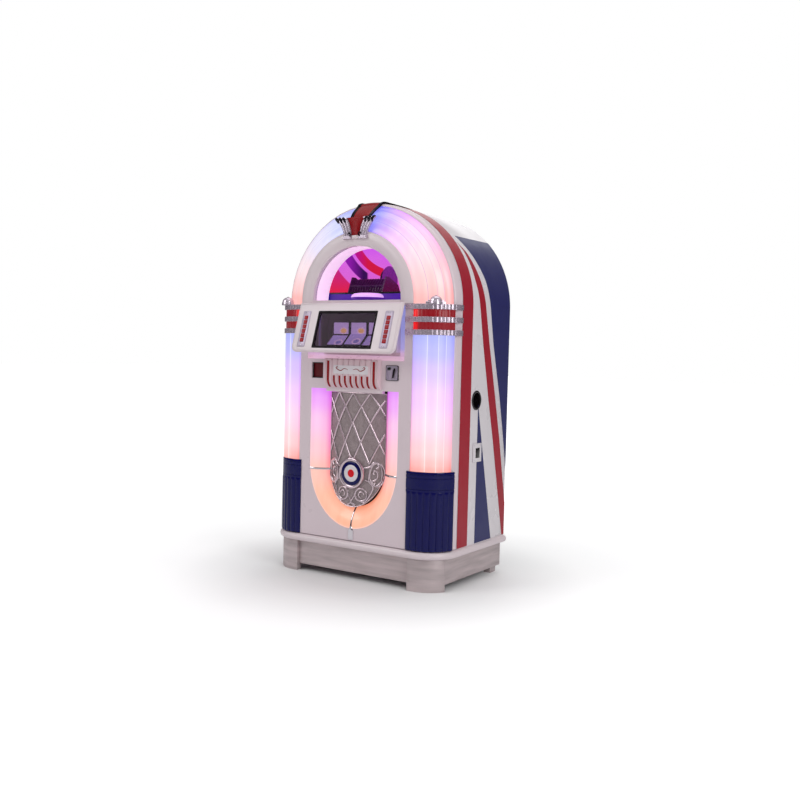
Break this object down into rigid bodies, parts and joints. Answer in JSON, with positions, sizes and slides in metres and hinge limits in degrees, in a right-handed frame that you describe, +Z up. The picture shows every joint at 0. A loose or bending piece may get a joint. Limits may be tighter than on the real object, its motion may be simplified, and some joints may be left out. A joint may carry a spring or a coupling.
{
  "type": "jukebox",
  "caption": "Arched floor-standing jukebox with lit corner columns, arched window, sloping title console with key rows, U-shaped light round a lattice grille and a full-height hinged door.",
  "frame": {"origin": "on the floor under the centre of the bounding box", "axes": "+Z up, the front with the door faces -Y, +X to the right as seen from the front"},
  "size_m": [0.848, 0.634, 1.5115],
  "materials": {
    "white_gloss": "glossy white laminate",
    "black": "satin black",
    "brushed": "brushed along its length",
    "chrome": "bright",
    "navy": "glossy dark blue",
    "red": "glossy red",
    "lens": "translucent lit lens",
    "glass": "clear",
    "mesh": "fine perforated sheet",
    "steel": "plain zinc plated",
    "disc": "mirror discs",
    "deck": "purple lit deck",
    "card": "printed cards on a dark rack",
    "silver": "silver paint",
    "backdrop": "lit printed panel"
  },
  "bodies": {
    "cabinet": {"cabinet_shell": "white_gloss", "back_panel": "black", "base_moulding": "white_gloss", "plinth_front_panel": "brushed", "plinth_skirt": "brushed", "front_foot_right": "brushed", "front_foot_left": "brushed", "lock_cup": "black", "side_tag_plate": "white_gloss", "mechanism_deck": "deck", "disc_rack": "disc", "carriage_rails": "steel", "backdrop_panel": "backdrop", "amplifier": "black", "cash_box": "steel", "cabinet_hinge": "chrome"},
    "door": {"door_frame": "white_gloss", "window_glass": "glass", "arch_light": "lens", "column_light_right": "lens", "column_light_left": "lens", "boot_right": "navy", "boot_left": "navy", "band_set_right": "chrome", "band_set_left": "chrome", "red_band_right": "red", "red_band_left": "red", "pylon_right": "chrome", "pylon_left": "chrome", "crown_saddle": "red", "console_housing": "white_gloss", "title_rack": "card", "selector_panel": "white_gloss", "coin_return_cup": "black", "coin_bezel": "silver", "u_light": "lens", "grille_mesh": "mesh", "grille_lattice": "chrome", "medallion": "chrome", "speaker": "black", "door_hinge": "chrome", "display_window": "glass"},
    "lock": {"lock_cylinder": "chrome"},
    "carriage": {"player_carriage": "black"},
    "platter": {"disc_platter": "disc"},
    "page": {"title_page": "card"},
    "reject": {"reject_button": "black"},
    "flap": {"coin_return_flap": "red"},
    "key_left_1": {"key_left_1": "red"},
    "key_left_2": {"key_left_2": "red"},
    "key_left_3": {"key_left_3": "red"},
    "key_left_4": {"key_left_4": "red"},
    "key_left_5": {"key_left_5": "red"},
    "key_left_6": {"key_left_6": "red"},
    "key_right_1": {"key_right_1": "red"},
    "key_right_2": {"key_right_2": "red"},
    "key_right_3": {"key_right_3": "red"},
    "key_right_4": {"key_right_4": "red"},
    "key_right_5": {"key_right_5": "red"},
    "key_right_6": {"key_right_6": "red"}
  },
  "joints": [
    {"name": "door_swing", "type": "hinge", "parent": "cabinet", "child": "door", "pos_m": [-0.4185, -0.0867, 0.722], "axis": [0, 0, -1], "range_deg": [0, 100]},
    {"name": "lock_turn", "type": "hinge", "parent": "cabinet", "child": "lock", "pos_m": [0.38, 0.045, 0.729], "axis": [1, 0, 0], "range_deg": [0, 90]},
    {"name": "carriage_slide", "type": "slide", "parent": "cabinet", "child": "carriage", "axis": [1, 0, 0], "range_m": [-0.095, 0.09]},
    {"name": "disc_spin", "type": "hinge", "parent": "carriage", "child": "platter", "pos_m": [-0.06, 0.103, 1.214], "axis": [1, 0, 0], "continuous": true},
    {"name": "page_flip", "type": "hinge", "parent": "door", "child": "page", "pos_m": [0, -0.1942, 0.9776], "axis": [-1, 0, 0], "range_deg": [0, 130]},
    {"name": "reject_press", "type": "slide", "parent": "door", "child": "reject", "axis": [0, 1, 0], "range_m": [0, 0.003], "stiffness_N_per_m": 400, "springref_m": -0.001},
    {"name": "flap_swing", "type": "hinge", "parent": "door", "child": "flap", "pos_m": [-0.184, -0.204, 0.8577], "axis": [1, 0, 0], "range_deg": [0, 70]},
    {"name": "key_left_1_press", "type": "slide", "parent": "door", "child": "key_left_1", "axis": [0, 0.9553, -0.2958], "range_m": [0, 0.0025], "stiffness_N_per_m": 400, "springref_m": -0.001},
    {"name": "key_left_2_press", "type": "slide", "parent": "door", "child": "key_left_2", "axis": [0, 0.9553, -0.2958], "range_m": [0, 0.0025], "stiffness_N_per_m": 400, "springref_m": -0.001},
    {"name": "key_left_3_press", "type": "slide", "parent": "door", "child": "key_left_3", "axis": [0, 0.9553, -0.2958], "range_m": [0, 0.0025], "stiffness_N_per_m": 400, "springref_m": -0.001},
    {"name": "key_left_4_press", "type": "slide", "parent": "door", "child": "key_left_4", "axis": [0, 0.9553, -0.2958], "range_m": [0, 0.0025], "stiffness_N_per_m": 400, "springref_m": -0.001},
    {"name": "key_left_5_press", "type": "slide", "parent": "door", "child": "key_left_5", "axis": [0, 0.9553, -0.2958], "range_m": [0, 0.0025], "stiffness_N_per_m": 400, "springref_m": -0.001},
    {"name": "key_left_6_press", "type": "slide", "parent": "door", "child": "key_left_6", "axis": [0, 0.9553, -0.2958], "range_m": [0, 0.0025], "stiffness_N_per_m": 400, "springref_m": -0.001},
    {"name": "key_right_1_press", "type": "slide", "parent": "door", "child": "key_right_1", "axis": [0, 0.9553, -0.2958], "range_m": [0, 0.0025], "stiffness_N_per_m": 400, "springref_m": -0.001},
    {"name": "key_right_2_press", "type": "slide", "parent": "door", "child": "key_right_2", "axis": [0, 0.9553, -0.2958], "range_m": [0, 0.0025], "stiffness_N_per_m": 400, "springref_m": -0.001},
    {"name": "key_right_3_press", "type": "slide", "parent": "door", "child": "key_right_3", "axis": [0, 0.9553, -0.2958], "range_m": [0, 0.0025], "stiffness_N_per_m": 400, "springref_m": -0.001},
    {"name": "key_right_4_press", "type": "slide", "parent": "door", "child": "key_right_4", "axis": [0, 0.9553, -0.2958], "range_m": [0, 0.0025], "stiffness_N_per_m": 400, "springref_m": -0.001},
    {"name": "key_right_5_press", "type": "slide", "parent": "door", "child": "key_right_5", "axis": [0, 0.9553, -0.2958], "range_m": [0, 0.0025], "stiffness_N_per_m": 400, "springref_m": -0.001},
    {"name": "key_right_6_press", "type": "slide", "parent": "door", "child": "key_right_6", "axis": [0, 0.9553, -0.2958], "range_m": [0, 0.0025], "stiffness_N_per_m": 400, "springref_m": -0.001}
  ]
}
